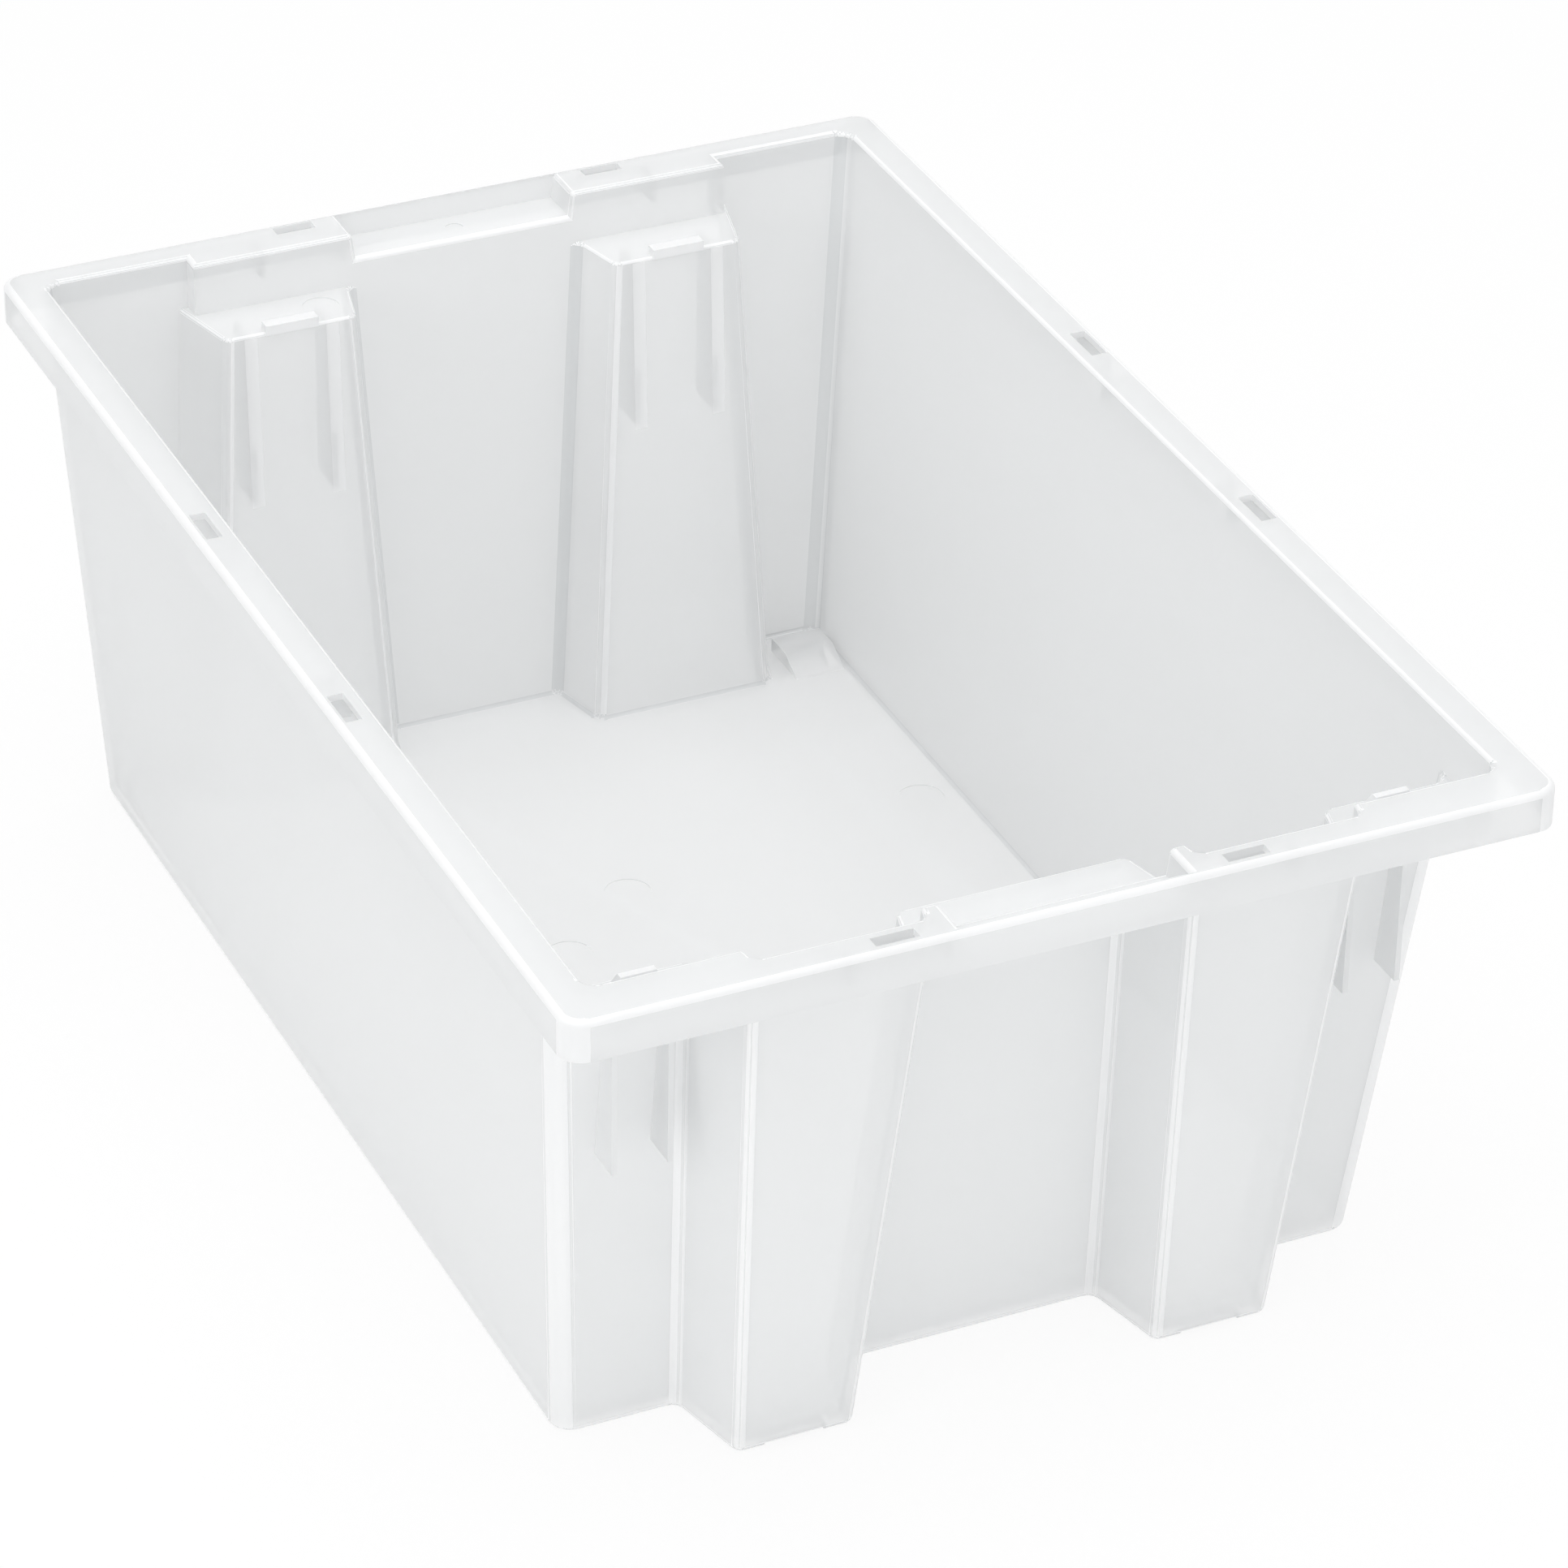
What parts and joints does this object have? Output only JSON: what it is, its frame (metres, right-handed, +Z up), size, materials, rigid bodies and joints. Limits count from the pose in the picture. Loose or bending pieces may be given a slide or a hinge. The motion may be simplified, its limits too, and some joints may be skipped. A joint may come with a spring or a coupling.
{
  "type": "stack and nest container",
  "caption": "Translucent plastic tote with tapered walls, two feet at one end and two ledge columns at the other, so it nests one way round and stacks the other.",
  "frame": {"origin": "middle of the base, on the surface it stands on", "axes": "+Z up, +X along the length towards the end with the two feet, Y across"},
  "size_m": [0.597, 0.394, 0.241],
  "materials": {
    "shell": "translucent natural polypropylene, fine matt grain"
  },
  "bodies": {
    "root": {"container": "shell"}
  },
  "joints": []
}
